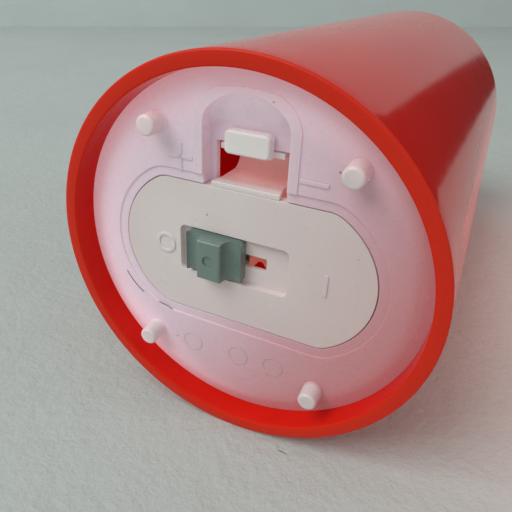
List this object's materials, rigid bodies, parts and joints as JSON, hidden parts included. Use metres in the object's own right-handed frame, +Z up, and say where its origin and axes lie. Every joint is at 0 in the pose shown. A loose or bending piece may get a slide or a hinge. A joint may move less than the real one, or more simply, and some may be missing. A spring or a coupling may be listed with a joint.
{
  "type": "flameless candle",
  "caption": "Battery-lit pillar candle: red wax-look tube, recessed moulded base with peg feet, latched battery door, slide switch and a flame-shaped light.",
  "frame": {"origin": "centre of the lip's plane, where the candle stands", "axes": "+Z up the candle; +X along the battery door towards the ON end of the switch; -Y towards the door latch"},
  "size_m": [0.075, 0.075, 0.158],
  "materials": {
    "shell_red": "glossy, deeply coloured, lets light through",
    "base_white": "natural moulded plastic, satin, milky",
    "door_cream": "satin moulded",
    "switch_grey": "satin moulded",
    "carrier_white": "satin moulded",
    "contact_nickel": "nickel plated",
    "screw_steel": "zinc plated",
    "cell_wrap": "plain printed wrap",
    "board_green": "solder mask",
    "epoxy_black": "epoxy",
    "resistor_tan": "lacquer",
    "wire_red": "vinyl",
    "wire_black": "vinyl",
    "led_lens": "clear epoxy",
    "lead_tin": "tinned",
    "flame_amber": "frosted, warm"
  },
  "bodies": {
    "base": {"candle_shell": "shell_red", "base_insert": "base_white", "battery_holder": "carrier_white", "flame_collar": "carrier_white", "top_contact_negative": "contact_nickel", "top_contact_positive": "contact_nickel", "top_spring": "contact_nickel", "holder_screws": "screw_steel", "board_screws": "screw_steel", "battery_left": "cell_wrap", "battery_right": "cell_wrap", "circuit_board": "board_green", "controller_blob": "epoxy_black", "resistor": "resistor_tan", "red_wire": "wire_red", "black_wire": "wire_black", "led_wires": "wire_black", "led": "led_lens", "led_leads": "lead_tin", "flame_tip": "flame_amber"},
    "door": {"battery_door": "door_cream", "latch_spring": "door_cream", "contact_carrier": "carrier_white", "carrier_screws": "screw_steel", "door_contact_positive": "contact_nickel", "door_contact_negative": "contact_nickel", "door_spring": "contact_nickel"},
    "latch": {"latch_tab": "door_cream"},
    "slider": {"switch_slider": "switch_grey", "bridge_contact": "contact_nickel"}
  },
  "joints": [
    {"name": "door_hinge", "type": "hinge", "parent": "base", "child": "door", "pos_m": [0, 0.0138, 0.0046], "axis": [1, 0, 0], "range_deg": [0, 75], "deforming": ["latch_tab", "latch_spring"]},
    {"name": "latch_flex", "type": "hinge", "parent": "door", "child": "latch", "pos_m": [0, -0.0207, 0.0117], "axis": [1, 0, 0], "range_deg": [0, 17], "stiffness_Nm_per_rad": 0.07},
    {"name": "switch_slide", "type": "slide", "parent": "door", "child": "slider", "axis": [1, 0, 0], "range_m": [0, 0.0071]}
  ]
}
